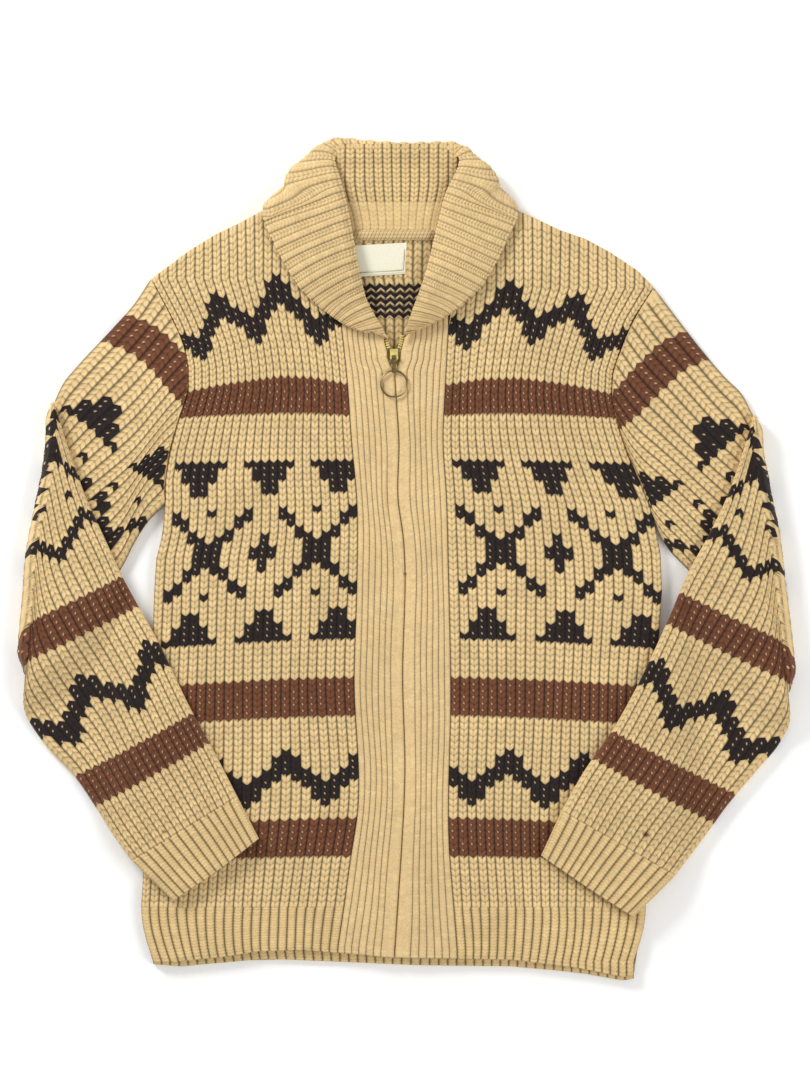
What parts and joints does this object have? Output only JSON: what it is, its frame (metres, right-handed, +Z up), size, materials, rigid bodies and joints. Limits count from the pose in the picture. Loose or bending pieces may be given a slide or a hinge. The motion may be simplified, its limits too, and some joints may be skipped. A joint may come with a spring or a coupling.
{
  "type": "shawl collar cardigan",
  "caption": "Heavy ribbed wool cardigan with a shawl collar and a zipped front, laid flat with its sleeves folded in over the fronts.",
  "frame": {"origin": "centre of the garment's footprint, on the surface that it lies on", "axes": "+X to the viewer's right, which is the wearer's left; +Y from the hem to the collar; +Z up from the surface"},
  "size_m": [0.7181, 0.7732, 0.0251],
  "materials": {
    "wool": "matt knitted wool, tan with brown stripes and a dark inlaid pattern",
    "label_cloth": "woven, satin sheen, blank",
    "tape": "matt woven tape",
    "brass": "dull antique brass"
  },
  "bodies": {
    "garment": {"back": "wool", "front_right": "wool", "front_left": "wool", "hem_rib_back": "wool", "hem_rib_front_right": "wool", "hem_rib_front_left": "wool", "front_band_right": "wool", "front_band_left": "wool", "sleeve_right": "wool", "sleeve_left": "wool", "cuff_right": "wool", "cuff_left": "wool", "collar": "wool", "collar_stand": "wool", "neck_binding": "wool", "label": "label_cloth", "zip_tape_right": "tape", "zip_tape_left": "tape", "zip_chain": "brass", "zip_row_right": "brass", "zip_row_left": "brass", "zip_slider": "brass"},
    "link": {"zip_link": "brass"},
    "ring": {"zip_ring": "brass"}
  },
  "joints": [
    {"name": "link_swing", "type": "hinge", "parent": "garment", "child": "link", "pos_m": [-0.0117, 0.18695, 0.0148], "axis": [-1, 0, 0], "range_deg": [0, 110]},
    {"name": "ring_swing", "type": "hinge", "parent": "link", "child": "ring", "pos_m": [-0.0117, 0.17485, 0.0148], "axis": [-1, 0, 0], "range_deg": [0, 80]}
  ]
}
